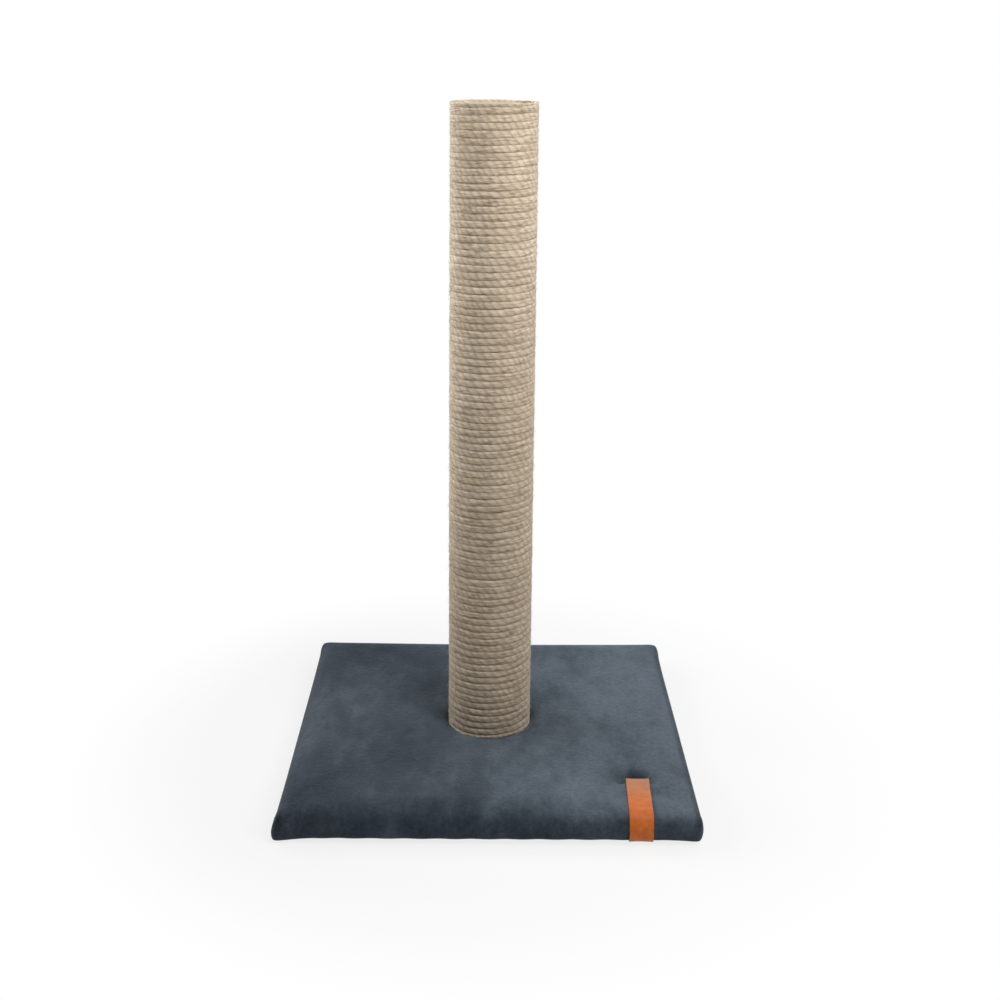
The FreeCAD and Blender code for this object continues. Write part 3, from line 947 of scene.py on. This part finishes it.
# %% Tuck the upper end in and finish the strip
free_start = slit_y - 0.009
free_zone = 0.004
dive_start = slit_y - 0.0025
dive_depth = 0.0095
top_side = slab_middle - 0.002
smooth_laps = 3
rubbed_edge = 0.0004
free_height = max(v.co.z for v in tab_bm.verts if abs(v.co.y - free_start) < free_zone)
for vert in tab_bm.verts:
    if vert.co.z > top_side and vert.co.y > free_start:
        dive = (vert.co.y - dive_start) / (tucked_y - dive_start)
        vert.co.z = free_height - dive_depth * soft_step(dive / 2) * 2
for lap in range(smooth_laps):
    inner = [v for v in tab_bm.verts if not v.is_boundary]
    bmesh.ops.smooth_vert(tab_bm, verts=inner, factor=0.35, use_axis_x=False, use_axis_y=True,
                          use_axis_z=True)
bmesh.ops.recalc_face_normals(tab_bm, faces=tab_bm.faces)
tab = link_piece(tab_bm, "tan_leather_tab")
leather_wall = tab.modifiers.new("leather thickness", "SOLIDIFY")
leather_wall.thickness = leather_thick
leather_wall.offset = 0.0
leather_edge = tab.modifiers.new("rubbed edge", "BEVEL")
leather_edge.width = rubbed_edge
leather_edge.segments = 2
leather_edge.limit_method = "ANGLE"
leather_edge.angle_limit = math.radians(50.0)
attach(tab, "root")
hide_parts("leather_tab")
tab_heights = [v.co.z for v in tab.data.vertices]
print("tab from z", round(min(tab_heights), 4), "to", round(max(tab_heights), 4))

# %% [markdown]
# Tan leather
#
# Smooth vegetable-tanned leather is orange brown with a fine pebbled grain and a soft polish. The
# grain is a cell pattern of about a millimetre, the tone drifts slowly, and the polish is broken by
# the same grain. Towards its upper end the leather is painted paler: a painted sheen.

# %% Leather finish
grain_scale = 950.0
painted_sheen_colour = (0.45, 0.235, 0.140, 1.0)
sheen_paint_start, sheen_paint_end = 0.10, 0.40
sheen_paint_most = 0.75
leather, leather_tree, leather_shader = new_finish("tan leather")
leather_point = place_node(leather_tree, "TexCoord").outputs["Object"]
grain = place_node(leather_tree, "TexVoronoi", {
    "Vector": leather_point, "Scale": grain_scale, "Randomness": 1.0},
    feature="SMOOTH_F1").outputs["Distance"]
leather_tone = noise_at(leather_tree, leather_point, scale=120.0, detail=4.0, rough=0.6)
leather_colour = ramp(leather_tree, leather_tone, (
    (0.3, (0.520, 0.110, 0.010)), (0.52, (0.630, 0.148, 0.016)), (0.74, (0.700, 0.190, 0.028))))
strip_uv = place_node(leather_tree, "UVMap", uv_map="along the strip").outputs["UV"]
strip_run = place_node(leather_tree, "SeparateXYZ", {0: strip_uv}).outputs["Y"]
# Painted sheen: the upper end of the strip is blended towards a pale colour.
sheen_paint_share = fade(leather_tree, strip_run, sheen_paint_start, sheen_paint_end, low=sheen_paint_most, high=0.0,
                  way="SMOOTHSTEP")
leather_gloss = ramp(leather_tree, grain, ((0.1, (0.34, 0.34, 0.34)), (0.7, (0.52, 0.52, 0.52))))
fill_sockets(leather_tree, leather_shader, {
    "Base Color": blend(leather_tree, sheen_paint_share, leather_colour, painted_sheen_colour),
    "Roughness": leather_gloss, "Specular IOR Level": 0.35})
raise_bump(leather_tree, leather_shader, grain, distance=0.00018, strength=0.6)
tab.data.materials.append(leather)
print("leather nodes", len(leather_tree.nodes))

# %% [markdown]
# The backing cloth
#
# A black non-woven cloth closes the underside. It is pulled flat and stapled over the hem, so the
# hem's window shows through it as a shallow step, and it has a round opening at the bolt. Over the
# four pads it stays flat.

# %% Backing cloth
liner_low, liner_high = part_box("base_liner")
pad_low, pad_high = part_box("anti_slip_pad_back_right")
liner_half = liner_high.x
liner_level = (liner_low.z + liner_high.z) / 2
liner_hole = 0.0165
liner_thick = 0.0006
liner_cells = 68
hole_zone = 0.01
pad_place = (pad_low.x + pad_high.x) / 2
pad_reach = (pad_high.x - pad_low.x) / 2 + 0.001
window_slope = 0.016
pad_slope = 0.020
cloth_rise = 0.0011
cloth_wave = 0.00035
wave_pace = 24.0
wave_seed = 3.0
liner_bm = bmesh.new()
bmesh.ops.create_grid(liner_bm, x_segments=liner_cells, y_segments=liner_cells, size=liner_half)
round_hole(liner_bm, liner_hole, -hole_zone, hole_zone)
for vert in liner_bm.verts:
    spot = vert.co
    inside = window_half - max(abs(spot.x), abs(spot.y))
    pad_gap = math.hypot(abs(spot.x) - pad_place, abs(spot.y) - pad_place) - pad_reach
    rise = soft_step(inside / window_slope) * soft_step(pad_gap / pad_slope)
    wave = noise.noise(Vector((spot.x * wave_pace, spot.y * wave_pace, wave_seed)))
    spot.z = liner_level + (cloth_rise + cloth_wave * wave) * rise
bmesh.ops.recalc_face_normals(liner_bm, faces=liner_bm.faces)
liner = link_piece(liner_bm, "stretched_backing_cloth")
cloth_wall = liner.modifiers.new("cloth thickness", "SOLIDIFY")
cloth_wall.thickness = liner_thick
cloth_wall.offset = 0.0
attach(liner, "root")
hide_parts("base_liner")
print("backing cloth", round(liner_half * 2, 3), "m square")

# %% Backing cloth finish
bond_scale = 520.0
bond_randomness = 0.15
backing, backing_tree, backing_shader = new_finish("black backing cloth")
backing_point = place_node(backing_tree, "TexCoord").outputs["Object"]
web = noise_at(backing_tree, backing_point, scale=420.0, detail=5.0, rough=0.7, distortion=0.8)
spot_bond = place_node(backing_tree, "TexVoronoi", {
    "Vector": backing_point, "Scale": bond_scale, "Randomness": bond_randomness}).outputs["Distance"]
backing_colour = ramp(backing_tree, web, ((0.3, (0.012, 0.012, 0.014)), (0.7, (0.036, 0.036, 0.040))))
fill_sockets(backing_tree, backing_shader, {
    "Base Color": backing_colour, "Roughness": 0.8, "Specular IOR Level": 0.3})
backing_bump = raise_bump(backing_tree, backing_shader, web, distance=0.0003, strength=0.6)
raise_bump(backing_tree, backing_shader, spot_bond, distance=0.0003, strength=0.5, under=backing_bump)
liner.data.materials.append(backing)
print("backing cloth nodes", len(backing_tree.nodes))

# %% [markdown]
# Hard pieces
#
# Board, tube, plug, cap, pads and fasteners keep their CAD shapes. Each gets the finish of its real
# material: chips in the board, bands round the tube, grain in the plug, a fine mottle on zinc and
# wire, a moulded skin on rubber and plastic. All of them are one pattern between two or three tones,
# so one function makes them.


# %% One pattern for the hard finishes
def plain_grain(name, stops, scale, rough, bump, detail=3.0, stretch=(1.0, 1.0, 1.0), metal=0.0,
                cells=False):
    material, tree, shader = new_finish(name)
    point = stretched(tree, place_node(tree, "TexCoord").outputs["Object"], stretch)
    if cells:
        cell = place_node(tree, "TexVoronoi", {"Vector": point, "Scale": scale})
        pattern = place_node(tree, "SeparateColor", {"Color": cell.outputs["Color"]}).outputs[0]
    else:
        pattern = noise_at(tree, point, scale=scale, detail=detail, rough=0.6)
    fill_sockets(tree, shader, {
        "Base Color": ramp(tree, pattern, stops), "Metallic": metal,
        "Roughness": fade(tree, pattern, 0.0, 1.0, low=rough[0], high=rough[1])})
    raise_bump(tree, shader, pattern, distance=bump, strength=0.6)
    return material


chipboard = plain_grain("pressed chips", (
    (0.1, (0.30, 0.20, 0.11)), (0.5, (0.46, 0.33, 0.19)), (0.9, (0.62, 0.48, 0.30))),
    scale=320.0, rough=(0.75, 0.95), bump=0.0003, stretch=(1.0, 1.0, 2.5), cells=True)
tube_board = plain_grain("wound kraft board", (
    (0.3, (0.30, 0.21, 0.13)), (0.7, (0.44, 0.33, 0.22))),
    scale=60.0, rough=(0.8, 0.95), bump=0.0002, detail=5.0, stretch=(1.0, 1.0, 6.0))
plug_wood = plain_grain("raw plug wood", (
    (0.3, (0.40, 0.27, 0.14)), (0.7, (0.58, 0.42, 0.25))),
    scale=40.0, rough=(0.6, 0.85), bump=0.0002, detail=6.0, stretch=(12.0, 1.0, 1.0))
print("board and wood finishes", chipboard.name, tube_board.name, plug_wood.name)

# %% Wire, zinc, rubber and plastic
staple_wire = plain_grain("galvanised wire", (
    (0.3, (0.50, 0.50, 0.51)), (0.7, (0.68, 0.68, 0.69))),
    scale=900.0, rough=(0.28, 0.5), bump=0.00005, metal=1.0)
nail_wire = plain_grain("bright wire", (
    (0.3, (0.42, 0.42, 0.43)), (0.7, (0.58, 0.58, 0.59))),
    scale=900.0, rough=(0.25, 0.45), bump=0.00005, metal=1.0)
zinc = plain_grain("zinc plating", (
    (0.3, (0.54, 0.55, 0.56)), (0.7, (0.70, 0.71, 0.71))),
    scale=500.0, rough=(0.25, 0.5), bump=0.00005, detail=4.0, metal=1.0)
rubber = plain_grain("matt rubber", (
    (0.3, (0.022, 0.022, 0.022)), (0.7, (0.040, 0.040, 0.039))),
    scale=1400.0, rough=(0.7, 0.9), bump=0.0002)
cap_plastic = plain_grain("moulded cap", (
    (0.3, (0.45, 0.365, 0.26)), (0.7, (0.53, 0.44, 0.325))),
    scale=1500.0, rough=(0.45, 0.6), bump=0.0001)
print("finishes", len(bpy.data.materials))


# %% Dress the CAD nodes
def dress(material, *nodes):
    for name in nodes:
        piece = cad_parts[name]
        piece.data.materials.clear()
        piece.data.materials.append(material)
    print(material.name, "on", ", ".join(nodes))


dress(chipboard, "base_board")
dress(tube_board, "post_tube")
dress(plug_wood, "bottom_plug")
dress(staple_wire, "cover_staples", "liner_staples", "tab_staples")
dress(nail_wire, "bottom_plug_nails", "top_cap_nails")
dress(zinc, "tee_nut", "post_bolt", "bolt_washer")
dress(rubber, "anti_slip_pad_front_left", "anti_slip_pad_front_right",
      "anti_slip_pad_back_left", "anti_slip_pad_back_right")
dress(cap_plastic, "top_cap")
